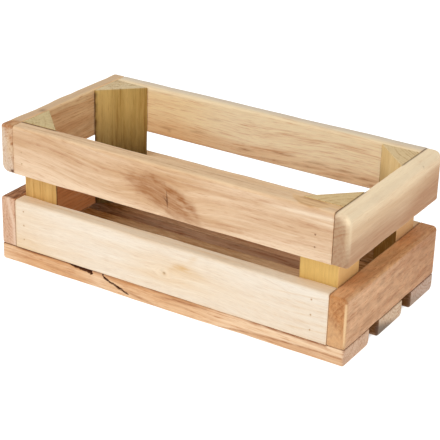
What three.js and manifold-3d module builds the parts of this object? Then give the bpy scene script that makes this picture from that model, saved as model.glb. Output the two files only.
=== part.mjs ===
// A small storage crate of softwood slats, nailed to four triangular corner posts.
// Millimetres, +Z up. X runs along the crate from its left end to its right end, Y from its
// front to its rear, and the origin is on the floor under the middle of the crate.

import * as THREE from 'three';
import { mergeVertices } from 'three/addons/utils/BufferGeometryUtils.js';
import Module from 'manifold-3d';

// The crate over its outer faces
const crateLength = 405;
const crateWidth = 196;

// Side slats: the long ones stand between the end ones, in a lower and an upper row
const longSlatThickness = 17;
const lowerEndSlatThickness = 18.5;
const upperEndSlatThickness = 16;
const lowerSlatHeight = 53.2;
const upperSlatHeight = 52.3;
const handGap = 28.9;

// Base slats, lengthwise under the sides. The middle one fills what the gaps leave
const baseSlatThickness = 17.6;
const frontBaseWidth = 53;
const rearBaseWidth = 53;
const baseGap = 18.3;

// Corner posts: half of a square bar, sawn along its diagonal
const postLeg = 42;

// Rounded edges, as the distance from the square corner to where the rounding starts
const sawnEase = 0.6;
const longSlatEase = 2;
const endSlatFootEase = 2.5;
const lowerEndTopEase = 4;
const lowerEndTipEase = 2;
const upperEndTopEase = 8;
const upperEndTipEase = 3.6;
const baseSlatFrontEase = 3;
const baseSlatRearEase = 5.5;
const baseSlatTipEase = 3;
const postEase = 1.5;

// Nails
const nailLength = 32;
const nailShankDiameter = 1.3;
const nailHeadDiameter = 1.9;
const nailHeadThickness = 0.9;
const nailPointLength = 3;
const nailHeadSink = 0.2;
const lowerLongNailCount = 3;
const endNailCount = 2;

// Nail places: insets run from the outer corner of a post, margins from a slat's edge
const longNailFirstInset = 10.5;
const longNailSecondInset = 18;
const endNailInset = 20;
const lowerLongNailMargin = 10.8;
const upperLongNailMargin = 13.6;
const upperLongNailPitch = 12.5;
const endNailMargin = 16;

// Fits: the hairline between two boards, and between a nail and the wood round it
const jointGap = 0.3;
const nailClearance = 0.2;

// Facets of a rounded edge and of a nail
const easeSegments = 3;
const nailSides = 8;

// Finishes
const woodRoughness = 0.8;
const creamWood = 0xefdcbd;
const tanWood = 0xdfb98d;
const brownWood = 0xa9754c;
const goldenWood = 0xd3ab62;
const nailSteel = 0x7d766d;
const nailRoughness = 0.45;
const nailMetalness = 0.9;

const wasm = await Module();
wasm.setup();

// The solid that a closed geometry bounds
function solidOf(geometry) {
  const bare = geometry.clone();
  bare.deleteAttribute('normal');
  bare.deleteAttribute('uv');
  const merged = mergeVertices(bare);
  return new wasm.Manifold(new wasm.Mesh({
    numProp: 3,
    vertProperties: merged.attributes.position.array,
    triVerts: new Uint32Array(merged.index.array),
  }));
}

// The geometry of a solid
function geometryOf(solid) {
  const { vertProperties, triVerts } = solid.getMesh();
  const geometry = new THREE.BufferGeometry();
  geometry.setAttribute('position', new THREE.BufferAttribute(vertProperties, 3));
  geometry.setIndex(new THREE.BufferAttribute(triVerts, 1));
  return geometry;
}

// A polygon with rounded corners. Each corner is [x, y, ease]
function easedOutline(corners) {
  const shape = new THREE.Shape();
  const points = corners.map(([x, y]) => new THREE.Vector2(x, y));
  points.forEach((corner, i) => {
    const ease = corners[i][2];
    const before = points.at(i - 1).clone().sub(corner).setLength(ease).add(corner);
    const after = points[(i + 1) % points.length].clone().sub(corner).setLength(ease).add(corner);
    if (i === 0) {
      shape.moveTo(before.x, before.y);
    } else {
      shape.lineTo(before.x, before.y);
    }
    shape.quadraticCurveTo(corner.x, corner.y, after.x, after.y);
  });
  shape.closePath();
  return shape;
}

// An outline extruded along +Z
function prism(corners, depth) {
  return new THREE.ExtrudeGeometry(easedOutline(corners), {
    depth,
    bevelEnabled: false,
    curveSegments: easeSegments,
  });
}

// A slat lying along X, standing on its edge: its outer face is at Y = 0, its inner face behind
// it and its lower edge at Z = 0. It is sawn to its section along its length, and its tips are
// then rounded to its plan
function slatGeometry({ length, width, thickness, lowerEase, upperEase, tipEase }) {
  const section = prism([
    [0, 0, lowerEase],
    [thickness, 0, sawnEase],
    [thickness, width, sawnEase],
    [0, width, upperEase],
  ], length);
  section.applyMatrix4(new THREE.Matrix4().makeBasis(
    new THREE.Vector3(0, 1, 0),
    new THREE.Vector3(0, 0, 1),
    new THREE.Vector3(1, 0, 0),
  ));
  section.translate(-length / 2, 0, 0);
  const plan = prism([
    [-length / 2, 0, tipEase],
    [length / 2, 0, tipEase],
    [length / 2, thickness, sawnEase],
    [-length / 2, thickness, sawnEase],
  ], width);
  return geometryOf(solidOf(section).intersect(solidOf(plan)));
}

// A nail along Y, with the top of its head at Y = 0 and its point ahead. A bore for it is the
// same shape, grown all round and lifted out past its head
function nailGeometry(grow = 0, lift = 0) {
  const headRadius = nailHeadDiameter / 2 + grow;
  const shankRadius = nailShankDiameter / 2 + grow;
  const outline = [
    [0, -lift],
    [headRadius, -lift],
    [headRadius, nailHeadThickness + grow],
    [shankRadius, nailHeadThickness + grow],
    [shankRadius, nailLength - nailPointLength + grow],
    [0, nailLength + grow],
  ];
  return new THREE.LatheGeometry(outline.map(([r, y]) => new THREE.Vector2(r, y)), nailSides);
}

const crate = new THREE.Group();
const boards = [];
const nails = [];

function addBoard(parent, name, geometry, color) {
  const material = new THREE.MeshStandardMaterial({
    color,
    roughness: woodRoughness,
    metalness: 0,
    flatShading: true,
  });
  const board = new THREE.Mesh(geometry, material);
  board.name = name;
  parent.add(board);
  boards.push(board);
  return board;
}

// A nail driven along its parent's +Y through the boards that it holds together
function addNail(parent, name, holds) {
  const material = new THREE.MeshStandardMaterial({
    color: nailSteel,
    roughness: nailRoughness,
    metalness: nailMetalness,
    flatShading: true,
  });
  const nail = new THREE.Mesh(nailGeometry(), material);
  nail.name = name;
  nail.userData.holds = holds;
  parent.add(nail);
  nails.push(nail);
  return nail;
}

// Heights of the rows above the floor
const lowerFloor = baseSlatThickness + jointGap;
const upperFloor = lowerFloor + lowerSlatHeight + handGap;
const crateHeight = upperFloor + upperSlatHeight;

// Corner posts, from the front left one anticlockwise seen from above. Each has its right angle
// in the corner between two sides and its sawn face to the inside
const postX = crateLength / 2 - lowerEndSlatThickness - jointGap;
const postY = crateWidth / 2 - longSlatThickness - jointGap;
const corners = [
  { name: 'front_left', x: -postX, y: -postY },
  { name: 'front_right', x: postX, y: -postY },
  { name: 'rear_right', x: postX, y: postY },
  { name: 'rear_left', x: -postX, y: postY },
];
const posts = corners.map(({ name, x, y }, i) => {
  const geometry = prism([
    [0, 0, postEase],
    [postLeg, 0, postEase],
    [0, postLeg, postEase],
  ], crateHeight - lowerFloor);
  const post = addBoard(crate, `post_${name}`, geometry, goldenWood);
  post.position.set(x, y, lowerFloor);
  post.rotation.z = i * Math.PI / 2;
  return post;
});

// Places from one margin to the other of a slat, evenly spread
function spread(count, margin, height) {
  return Array.from({ length: count }, (_, i) => margin + i * (height - 2 * margin) / (count - 1));
}

// What the two long sides and the two ends have in common. The outer corners of the posts stand
// the post reach from the middle of the side, and the corner reach out from the middle of the crate
const longSide = {
  postReach: postX,
  cornerReach: postY,
  slat: {
    length: 2 * postX,
    lowerEase: longSlatEase,
  },
  lower: {
    thickness: longSlatThickness,
    eases: { upperEase: longSlatEase, tipEase: sawnEase },
    nailHeights: spread(lowerLongNailCount, lowerLongNailMargin, lowerSlatHeight),
  },
  upper: {
    thickness: longSlatThickness,
    eases: { upperEase: longSlatEase, tipEase: sawnEase },
    nailHeights: [upperLongNailMargin, upperLongNailMargin + upperLongNailPitch],
  },
  nailInsets: [longNailFirstInset, longNailSecondInset],
};
const endSide = {
  postReach: postY,
  cornerReach: postX,
  slat: {
    length: crateWidth,
    lowerEase: endSlatFootEase,
  },
  lower: {
    thickness: lowerEndSlatThickness,
    eases: { upperEase: lowerEndTopEase, tipEase: lowerEndTipEase },
    nailHeights: spread(endNailCount, endNailMargin, lowerSlatHeight),
  },
  upper: {
    thickness: upperEndSlatThickness,
    eases: { upperEase: upperEndTopEase, tipEase: upperEndTipEase },
    nailHeights: spread(endNailCount, endNailMargin, upperSlatHeight),
  },
  nailInsets: [endNailInset, endNailInset],
};

// The four sides, in the order of the posts. Each is built as the front one, facing -Y, and
// turned into its place, so its first end is on the post of its own number
const sides = [
  { name: 'front', kind: longSide, lowerColor: creamWood, upperColor: tanWood },
  { name: 'right', kind: endSide, lowerColor: tanWood, upperColor: creamWood },
  { name: 'rear', kind: longSide, lowerColor: brownWood, upperColor: tanWood },
  { name: 'left', kind: endSide, lowerColor: brownWood, upperColor: brownWood },
];
const lowerSlats = {};
sides.forEach(({ name, kind, lowerColor, upperColor }, i) => {
  const side = new THREE.Group();
  side.rotation.z = i * Math.PI / 2;
  crate.add(side);
  const rows = [
    { row: 'lower', floor: lowerFloor, width: lowerSlatHeight, color: lowerColor },
    { row: 'upper', floor: upperFloor, width: upperSlatHeight, color: upperColor },
  ];
  for (const { row, floor, width, color } of rows) {
    const { thickness, eases, nailHeights } = kind[row];
    const reach = kind.cornerReach + jointGap + thickness;
    const geometry = slatGeometry({ ...kind.slat, ...eases, thickness, width });
    const slat = addBoard(side, `${row}_${name}_slat`, geometry, color);
    slat.position.set(0, -reach, floor);
    if (row === 'lower') {
      lowerSlats[name] = slat;
    }
    kind.nailInsets.forEach((inset, end) => {
      const corner = (i + end) % corners.length;
      const alongSide = (end === 0 ? -1 : 1) * (kind.postReach - inset);
      nailHeights.forEach((height, n) => {
        const label = `nail_${row}_${name}_slat_at_${corners[corner].name}_${n + 1}`;
        const nail = addNail(side, label, [slat, posts[corner]]);
        nail.position.set(alongSide, nailHeadSink - reach, floor + height);
      });
    });
  }
});

// Base slats, laid flat with their outer face down and nailed up into the lower end slats
const middleBaseWidth = crateWidth - frontBaseWidth - rearBaseWidth - 2 * baseGap;
const bases = [
  { name: 'front', width: frontBaseWidth, color: tanWood },
  { name: 'middle', width: middleBaseWidth, color: creamWood },
  { name: 'rear', width: rearBaseWidth, color: tanWood },
];
let frontEdge = -crateWidth / 2;
for (const { name, width, color } of bases) {
  const base = new THREE.Group();
  base.rotation.x = Math.PI / 2;
  base.position.y = frontEdge + width;
  crate.add(base);
  const slat = addBoard(base, `base_${name}_slat`, slatGeometry({
    length: crateLength,
    width,
    thickness: baseSlatThickness,
    lowerEase: baseSlatRearEase,
    upperEase: baseSlatFrontEase,
    tipEase: baseSlatTipEase,
  }), color);
  for (const [end, sign] of [['left', -1], ['right', 1]]) {
    const nail = addNail(base, `nail_base_${name}_slat_${end}`, [slat, lowerSlats[end]]);
    nail.position.set(sign * (crateLength - lowerEndSlatThickness) / 2, nailHeadSink, width / 2);
  }
  frontEdge += width + baseGap;
}

// Every board is bored for the nails that pass through it
const boreLift = nailHeadSink + nailHeadThickness;
crate.updateMatrixWorld(true);
for (const board of boards) {
  const intoBoard = board.matrixWorld.clone().invert();
  let solid = solidOf(board.geometry);
  for (const nail of nails.filter(({ userData }) => userData.holds.includes(board))) {
    const bore = nailGeometry(nailClearance, boreLift);
    bore.applyMatrix4(nail.matrixWorld).applyMatrix4(intoBoard);
    solid = solid.subtract(solidOf(bore));
  }
  board.geometry = geometryOf(solid);
}

export default crate;
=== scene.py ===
import bpy
import numpy as np
from mathutils import Matrix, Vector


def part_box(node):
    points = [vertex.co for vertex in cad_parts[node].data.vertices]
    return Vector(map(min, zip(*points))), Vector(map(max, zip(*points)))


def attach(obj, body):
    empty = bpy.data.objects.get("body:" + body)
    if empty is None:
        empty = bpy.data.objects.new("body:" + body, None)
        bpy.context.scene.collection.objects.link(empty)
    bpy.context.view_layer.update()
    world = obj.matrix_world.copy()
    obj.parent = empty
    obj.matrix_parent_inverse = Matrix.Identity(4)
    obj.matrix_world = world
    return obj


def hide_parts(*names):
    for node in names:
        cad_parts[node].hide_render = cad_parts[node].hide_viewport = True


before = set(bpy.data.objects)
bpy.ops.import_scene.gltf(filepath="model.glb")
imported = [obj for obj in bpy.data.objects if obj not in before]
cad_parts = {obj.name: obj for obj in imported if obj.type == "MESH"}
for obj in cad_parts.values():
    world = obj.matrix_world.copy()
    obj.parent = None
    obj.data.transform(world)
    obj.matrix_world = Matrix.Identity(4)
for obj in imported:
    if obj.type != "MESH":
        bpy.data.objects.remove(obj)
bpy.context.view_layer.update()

# Corner posts: a square treated softwood bar sawn in half along its diagonal, one in each corner of
# the crate with its sawn face to the inside. Every slat of the sides is nailed to its two legs. The
# sawn faces have weathered to olive, and painted shade darkens them towards the foot and along
# their left edge.
post_edge = np.array([0.9, 0.45, 0.45])
post_tip = np.array([0.7, 0.7, 0.7])
post_waver = 0.12
point_rounded_off = 0.6
post_turns = {
    "front_left": ((0, 0, 1), (1, 0, 0), (0, 1, 0)),
    "front_right": ((0, 0, 1), (0, 1, 0), (-1, 0, 0)),
    "rear_right": ((0, 0, 1), (-1, 0, 0), (0, -1, 0)),
    "rear_left": ((0, 0, 1), (0, -1, 0), (1, 0, 0)),
}


def own_frame(node, axes):
    """A stick's own frame, in millimetres. The axes are the directions of its length, its thickness
    inwards and its width. The origin is half-way along it, on its outer face and its lower edge.
    Gives the axes as the columns of a matrix, the origin, and the stick's size along each axis."""
    low, high = (np.array(corner) * 1000 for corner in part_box(node))
    turn = np.array(axes, float).T
    size = np.abs(turn.T @ (high - low))
    return turn, (low + high) / 2 - turn @ (size * [0, 0.5, 0.5]), size


def ramp(values, low, high):
    """0 at low, 1 at high, and 3 t^2 - 2 t^3 between them. Low may be the larger one."""
    t = np.clip((values - low) / (high - low), 0, 1)
    return t * t * (3 - 2 * t)


def spaced(start, end, step, near=(), reach=3.0, fine=0.4):
    """Places from start to end about a step apart, but `fine` apart within `reach` of each in near."""
    near = np.unique(np.round(np.asarray(near, float), 2))
    coarse = np.linspace(start, end, max(2, int(round(abs(end - start) / step)) + 1))
    far = np.abs(coarse[:, None] - near).min(1, initial=np.inf) > reach + fine / 2
    close = (near[:, None] + np.arange(-reach, reach + fine / 2, fine)).ravel()
    return np.unique(np.round(np.concatenate([coarse[far], close]), 3))


def waver(along, length, seed):
    """Slow unevenness between about -1 and 1: the sum of five sines of seeded phase, whose waves are
    `length` times 1, 0.61, 0.37, 0.23 and 0.14 long and whose heights fall with their length."""
    share = 0.61 ** np.arange(5)
    phase = np.random.default_rng(seed).uniform(0, 2 * np.pi, 5)
    waves = np.sin(2 * np.pi * np.asarray(along)[..., None] / (length * share) + phase)
    return (waves * share).sum(-1) / 1.6


def stick_rings(along, corners, radius, tip, flats, arc_points=7, cap_rings=12):
    """The surface of a stick as rings of points (along, inwards, up) in its own frame, and its two
    end points. Each ring is the section at one place along it: the polygon `corners` with its edge k
    drawn in near both ends by a quarter round of tip[k], t - sqrt(t^2 - (t - d)^2) at a distance d
    from the end, and its corners rounded to arcs of `radius`. A corner whose two edges are drawn in
    by a and b lies at P - (a (m - c n) + b (n - c m)) / (1 - c^2), with m and n the edges' outward
    normals and c = m.n, and its arc's centre is that with a and b grown by the radius. flats[k] are
    the shares of edge k, from arc to arc, at which its points lie. Each end face is the outermost
    ring drawn in to its middle."""
    ahead = np.roll(corners, -1, axis=1) - corners
    ahead = ahead / np.linalg.norm(ahead, axis=2, keepdims=True)
    after = np.stack([ahead[..., 1], -ahead[..., 0]], axis=2)
    before = np.roll(after, 1, axis=1)
    end_gap = np.minimum(along - along[0], along[-1] - along)[:, None]
    short = np.clip(tip - end_gap, 0, None)
    drawn = tip - np.sqrt(tip ** 2 - short ** 2)
    a = (np.roll(drawn, 1, axis=1) + radius)[..., None]
    b = (drawn + radius)[..., None]
    c = (before * after).sum(2, keepdims=True)
    centre = corners - (a * (before - c * after) + b * (after - c * before)) / (1 - c ** 2)
    start = np.arctan2(before[..., 1], before[..., 0])
    sweep = (np.arctan2(after[..., 1], after[..., 0]) - start) % (2 * np.pi)
    angle = start[..., None] + sweep[..., None] * np.linspace(0, 1, arc_points)
    arcs = centre[:, :, None] + radius[..., None, None] * np.stack([np.cos(angle), np.sin(angle)], 3)
    parts = []
    for k, share in enumerate(flats):
        one = arcs[:, k, -1, None]
        two = arcs[:, (k + 1) % len(flats), 0, None]
        parts += [arcs[:, k], one + (two - one) * np.asarray(share)[:, None]]
    sections = np.concatenate(parts, axis=1)
    lengthwise = np.broadcast_to(along[:, None, None], sections[..., :1].shape)
    rings = np.concatenate([lengthwise, sections], axis=2)
    shares = np.linspace(0.1, 0.97, cap_rings)[:, None, None]
    caps = [rings[end].mean(0) + (rings[end] - rings[end].mean(0)) * shares for end in (0, -1)]
    poles = np.stack([rings[0].mean(0), rings[-1].mean(0)])
    return np.concatenate([caps[0], rings, caps[1][::-1]]), poles


def tip_places(length, step, tip, near=()):
    """Places along a stick from its middle: close together where its tips are rounded, then spaced."""
    rounding = tip * (1 - np.cos(np.linspace(0, np.pi / 2, 6)))
    body = spaced(tip + 0.3 - length / 2, length / 2 - tip - 0.3, step, near)
    return np.concatenate([rounding - length / 2, body, length / 2 - rounding[::-1]])


def between_arcs(middle, by_arc):
    """Shares of an edge from arc to arc: one as close as `by_arc` to each arc, and `middle` between."""
    return np.concatenate([[by_arc], middle, [1 - by_arc]])


def soft_spots(points, spots):
    """The sum of soft spots, each (strength, centre, reach):
    strength exp(-|(point - centre) / reach|^2)."""
    total = np.zeros(len(points))
    for strength, centre, reach in spots:
        total += strength * np.exp(-(((points - np.array(centre)) / np.array(reach)) ** 2).sum(1))
    return total


def trail(points, path, across=2):
    """How strongly a drawn line marks each point. The path's corners are (along, across, half width,
    strength), and at a distance d from the nearest of 80 places on it a mark is
    strength exp(-(d / half width)^2). `across` is the axis that it runs over besides the length."""
    path = np.array(path, float)
    place = np.linspace(0, len(path) - 1, 80)
    line = np.stack([np.interp(place, np.arange(len(path)), column) for column in path.T], axis=1)
    gap = np.hypot(points[:, None, 0] - line[:, 0], points[:, None, across] - line[:, 1])
    return (line[:, 3] * np.exp(-(gap / line[:, 2]) ** 2)).max(1)


def put(tree, kind, inputs, **options):
    """Adds a node with these options to a material and gives its outputs. An input is a plain value or
    another node's output."""
    made = tree.nodes.new(kind)
    for key, value in options.items():
        setattr(made, key, value)
    for key, value in inputs.items():
        if isinstance(value, bpy.types.NodeSocket):
            tree.links.new(value, made.inputs[key])
        else:
            made.inputs[key].default_value = value
    return made.outputs


def tone(red, green, blue):
    """A colour as a screen shows it, 0 to 255, turned to the linear values that a shader takes."""
    part = np.array([red, green, blue]) / 255
    linear = np.where(part <= 0.04045, part / 12.92, ((part + 0.055) / 1.055) ** 2.4)
    return (*linear.tolist(), 1.0)


def sawn_wood(name, stick, seed, sap, heart, end, late=(196, 146, 106), stain_and_shade=(160, 104, 68),
              pale=(248, 232, 206), pith=(60, 22), tilt=(0.6, 0.8), drift=7.0, ring=3.6, ring_depth=0.4,
              band_depth=0.9, streak=(75, 2.6), streak_depth=0.5, light_depth=0.3, dash=(15, 1.2),
              dash_depth=0.5, mottle=0.0, end_rings=0.4, figured=0.8):
    """Solid wood as the saw left it, worked out in the stick's own millimetres. Each seed takes its
    stick from a place of its own along the log, `cut_apart` from the one before. The grain runs along
    the stick, drifting by slow noise and shifted by the mesh's own "flow". The growth rings are
    cylinders round a pith line beside the stick, tilted by `tilt` degrees: the distance from that
    line over the ring width counts the rings, and its fraction darkens each towards its outer edge.
    The mesh's own "heart", broken up by slow noise along the grain, mixes the sapwood's tone with
    the heartwood's. Noise drawn out along the grain makes light and dark streaks, short dashes and
    fibres. The mesh's "end", "stain_and_shade", "rub_and_sheen", "gold" and "grime_and_shade" add the
    end grain and that stick's marks: real stains, wear and dirt, and also painted shade, painted
    highlights and a painted reflection. `end_rings` is how much clearer the rings are on the end grain,
    and `figured` is how far the grain breaks up a stain or a painted shade. Gold is multiplied in, and
    the other marks are laid over."""
    gilding = (255, 240, 211)
    # The tone that the grime mark lays over: real dirt, cracks and chips, and also painted shade in gaps,
    # joints and along the post edges.
    darkening = (84, 40, 8)
    cut_apart = 713.0
    material = bpy.data.materials.new(name)
    material.use_nodes = True
    tree = material.node_tree
    turn, origin, _ = stick

    def grain_noise(vector, length, width, detail):
        """Noise of which one grain is about `length` millimetres long and `width` thick."""
        shrunk = put(tree, "ShaderNodeVectorMath", {0: vector, 1: (1 / length, 1 / width, 1 / width)},
                     operation="MULTIPLY")[0]
        return put(tree, "ShaderNodeTexNoise",
                   {"Vector": shrunk, "Scale": 1.0, "Detail": detail, "Roughness": 0.6})

    def math(operation, *values):
        """A number worked out from others."""
        return put(tree, "ShaderNodeMath", dict(enumerate(values)), operation=operation)[0]

    def rise(value, low, high):
        """0 at low, 1 at high, and smooth between them."""
        return put(tree, "ShaderNodeMapRange", {0: value, 1: low, 2: high},
                   interpolation_type="SMOOTHSTEP")[0]

    def over(share, under, colour, blend="MIX"):
        """A share of a colour laid over the one under it, or multiplied into it."""
        return put(tree, "ShaderNodeMixRGB", {0: share, 1: under, 2: colour}, blend_type=blend)[0]

    def scaled(colour, amount):
        """A colour times an amount."""
        return put(tree, "ShaderNodeVectorMath", {0: colour, "Scale": amount}, operation="SCALE")[0]

    def mark(attribute):
        """One of the mesh's own values."""
        return put(tree, "ShaderNodeAttribute", {}, attribute_name=attribute)["Fac"]

    place = put(tree, "ShaderNodeTexCoord", {})["Object"]
    own = put(tree, "ShaderNodeMapping", {
        "Vector": place, "Location": origin / 1000, "Rotation": Matrix(turn.tolist()).to_euler(),
        "Scale": (0.001, 0.001, 0.001)}, vector_type="TEXTURE")[0]
    log = put(tree, "ShaderNodeMapping", {
        "Vector": own, "Location": (cut_apart * seed, -pith[0], -pith[1]),
        "Rotation": np.radians((0, tilt[0], tilt[1]))})[0]
    shift = put(tree, "ShaderNodeCombineXYZ", {"Z": mark("flow")})[0]
    log = put(tree, "ShaderNodeVectorMath", {0: log, 1: shift}, operation="ADD")[0]
    slow = grain_noise(log, 150, 30, 2.0)[1]
    grain = put(tree, "ShaderNodeVectorMath", {0: slow, 1: (0, drift, drift), 2: log},
                operation="MULTIPLY_ADD")[0]

    across = put(tree, "ShaderNodeVectorMath", {0: grain, 1: (0, 1, 1)}, operation="MULTIPLY")[0]
    reach = put(tree, "ShaderNodeVectorMath", {0: across}, operation="LENGTH")["Value"]
    count = math("DIVIDE", reach, ring)
    each = put(tree, "ShaderNodeTexWhiteNoise", {"W": math("FLOOR", count)}, noise_dimensions="1D")[0]
    within = math("FRACT", count)
    rings = math("MULTIPLY", rise(within, 0.1, 0.9), rise(within, 1.0, 0.9))
    rings = math("MULTIPLY", rings, math("MULTIPLY_ADD", each, 0.9, 0.1))

    band = grain_noise(grain, 120, 11, 3.0)[0]
    wisp = grain_noise(grain, *streak, 4.0)[0]
    pore = grain_noise(grain, *dash, 2.0)[0]
    fibre = grain_noise(grain, 9, 0.45, 3.0)[0]
    figure = grain_noise(grain, 13, 2.4, 3.0)[0]
    cloud = grain_noise(grain, 14, 7, 3.0)[0]

    inner = math("ADD", mark("heart"), math("MULTIPLY_ADD", band, 2 * band_depth, -band_depth))
    colour = over(put(tree, "ShaderNodeClamp", {0: inner})[0], tone(*sap), tone(*heart))
    ends = mark("end")
    colour = over(math("MULTIPLY", ends, 0.92), colour, tone(*end))
    colour = over(math("MULTIPLY", rise(wisp, 0.48, 0.28), light_depth), colour, tone(*pale))
    dark = math("MULTIPLY", math("MULTIPLY", rings, rise(cloud, 0.75, 0.3)),
                math("MULTIPLY_ADD", ends, end_rings, ring_depth))
    dark = math("MULTIPLY_ADD", math("MULTIPLY", rise(wisp, 0.46, 0.74), rise(band, 0.3, 0.6)),
                streak_depth, dark)
    dark = math("MULTIPLY_ADD", rise(pore, 0.52, 0.74), dash_depth, dark)
    colour = over(dark, colour, tone(*late), "MULTIPLY")
    colour = scaled(colour, math("MULTIPLY_ADD", cloud, 2 * mottle, 1 - mottle))
    colour = scaled(colour, math("MULTIPLY_ADD", fibre, 0.3, 0.85))
    broken = math("MULTIPLY_ADD", rise(figure, 0.3, 0.68), figured, 0.9 - figured / 2)
    # The stain mark carries real stains and painted shade; the rub mark carries wear, painted highlights
    # and a painted reflection of the sky.
    stained_and_shaded = math("MULTIPLY", mark("stain_and_shade"), broken)
    colour = over(put(tree, "ShaderNodeClamp", {0: stained_and_shaded})[0], colour, tone(*stain_and_shade))
    rubbed_and_lit = math("MULTIPLY", mark("rub_and_sheen"), math("MULTIPLY_ADD", fibre, 0.8, 0.5))
    colour = over(put(tree, "ShaderNodeClamp", {0: rubbed_and_lit})[0], colour, tone(*pale))
    colour = over(mark("gold"), colour, tone(*gilding), "MULTIPLY")
    colour = over(mark("grime_and_shade"), colour, tone(*darkening))

    height = math("SUBTRACT", math("MULTIPLY", fibre, 0.7), math("MULTIPLY", dark, 0.5))
    bump = put(tree, "ShaderNodeBump", {"Height": height, "Strength": 0.45, "Distance": 0.0004})[0]
    finish = tree.nodes["Principled BSDF"]
    finish.inputs["Specular IOR Level"].default_value = 0.2
    tree.links.new(colour, finish.inputs["Base Color"])
    tree.links.new(math("MULTIPLY_ADD", fibre, 0.3, 0.52), finish.inputs["Roughness"])
    tree.links.new(bump, finish.inputs["Normal"])
    return material


def lay_stick(name, node, stick, rings, poles, shape, marks, material):
    """Puts a stick's rings into a mesh in the crate's own metres: quads from ring to ring and a fan to
    the middle of each end. `shape` moves the points in the stick's own frame first, and each of
    `marks` gives a value to every point for the material."""
    count, around = rings.shape[:2]
    points = shape(np.concatenate([rings.reshape(-1, 3), poles]))
    turn, origin, _ = stick
    at = np.arange(count * around).reshape(count, around)
    beside = np.roll(at, -1, axis=1)
    quads = np.stack([at[:-1], beside[:-1], beside[1:], at[1:]], axis=2).reshape(-1, 4)
    first = np.stack([beside[0], at[0], np.full(around, count * around)], axis=1)
    last = np.stack([at[-1], beside[-1], np.full(around, count * around + 1)], axis=1)
    mesh = bpy.data.meshes.new(name)
    mesh.from_pydata(((origin + points @ turn.T) / 1000).tolist(), [],
                     quads.tolist() + first.tolist() + last.tolist())
    mesh.polygons.foreach_set("use_smooth", np.ones(len(mesh.polygons), bool))
    for label, values in marks(points).items():
        layer = mesh.attributes.new(label, "FLOAT", "POINT")
        layer.data.foreach_set("value", np.broadcast_to(values, len(points)).astype(np.float32))
    mesh.materials.append(material)
    piece = bpy.data.objects.new(name, mesh)
    bpy.context.scene.collection.objects.link(piece)
    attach(piece, "root")
    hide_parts(node)


def lay_post(corner, seed, foot, legs=(0, 0), lean=0, stain_and_shade=(92, 66, 27), end_rings=0.7, edge_shade=0.95,
             streak=(120, 2.4), **look):
    """A post: a right triangle carried up its height. Painted shade darkens its sawn face downwards to
    the given shade tone, `foot` being how far and between which two heights above its middle, and
    along its left edge, where it meets the slat, by `edge_shade`. Its sawn face also darkens by `lean`
    from left to right. `legs` is how far its two legs have turned from gold to the pale tone."""
    post = own_frame(f"post_{corner}", post_turns[corner])
    height = post[2][0]
    leg = post[2][1] + point_rounded_off
    how_dark, light_above, dark_below = foot
    along = tip_places(height, 2.0, post_tip.max())
    triangle = np.array([[0, 0], [leg, 0], [0, leg]])
    sway = np.stack([waver(along + 40 * k, 60, 7) for k in range(6)], 1).reshape(-1, 3, 2)
    share = [between_arcs(np.linspace(0, 1, count)[1:-1], 0.008) for count in (26, 44, 26)]
    rings, poles = stick_rings(along, triangle + post_waver * sway,
                               np.broadcast_to(post_edge, (len(along), 3)), post_tip, share)

    def marks(points):
        """What the wood reads at each point: the sawn face, the legs and the ends each have their own."""
        up, one, two = points.T
        to_end = height / 2 - np.abs(up)
        sawn = ramp(one + two, leg - 1.6, leg - 0.9)
        uneven = lean * (two / leg - 0.5) + 0.12 * waver(two, 33, seed)
        jagged = 1.5 + 0.6 * waver(up, 17, seed)
        left_edge = np.exp(-(np.minimum(one, two) / jagged) ** 2) * ramp(two - one, 4, -4)
        turned = np.maximum(legs[0] * ramp(one, 1.5, 0.2), legs[1] * ramp(two, 1.5, 0.2))
        # Painted shade: the sawn face darkens towards its foot, and along its left edge where it meets the
        # slat.
        return {"flow": 0.0, "heart": 0.42 + sawn * uneven, "end": np.exp(-(to_end / 0.6) ** 2),
                "stain_and_shade": sawn * how_dark * ramp(up, light_above, dark_below),
                "grime_and_shade": edge_shade * sawn * left_edge * ramp(up, height / 2 - 1, height / 2 - 6),
                "rub_and_sheen": turned * (1 - sawn) * ramp(to_end, 0.8, 2.5)}

    wood = sawn_wood(f"golden_post_{corner}", post, seed, pith=(-25, -30), tilt=(0.5, -0.4), ring=3.2,
                     drift=4.0, late=(186, 148, 92), stain_and_shade=stain_and_shade, figured=0.2, end_rings=end_rings,
                     streak=streak, **look)
    lay_stick(f"sawn_post_{corner}", f"post_{corner}", post, rings, poles,
              lambda points: points, marks, wood)


lay_post("front_left", seed=3, foot=(0.7, 48, -50), end_rings=0.1, sap=(228, 188, 118),
         heart=(200, 156, 88), end=(206, 187, 141), pale=(240, 206, 140), streak_depth=0.5,
         dash_depth=0.25, ring_depth=0.3)
lay_post("front_right", seed=4, foot=(0.7, 48, -50), legs=(0, 0.85), sap=(235, 199, 123),
         heart=(220, 180, 103), end=(220, 193, 144), pale=(240, 191, 126), streak_depth=0.2,
         light_depth=0, dash_depth=0.15, ring_depth=0.2)
lay_post("rear_right", seed=5, foot=(1.12, 62, -2), legs=(0.75, 0), stain_and_shade=(116, 78, 20), end_rings=0.4,
         edge_shade=0.4, sap=(244, 215, 158), heart=(231, 198, 132), end=(223, 196, 149),
         pale=(222, 168, 116), streak_depth=0.25, light_depth=0, dash_depth=0.2, ring_depth=0.2)
lay_post("rear_left", seed=6, foot=(0.92, 54, -24), lean=0.5, sap=(238, 204, 127), heart=(192, 154, 78),
         end=(221, 201, 163), pale=(240, 206, 130), streak=(130, 2.8), streak_depth=0.62,
         light_depth=0.3, dash_depth=0.3, ring_depth=0.25)

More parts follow.
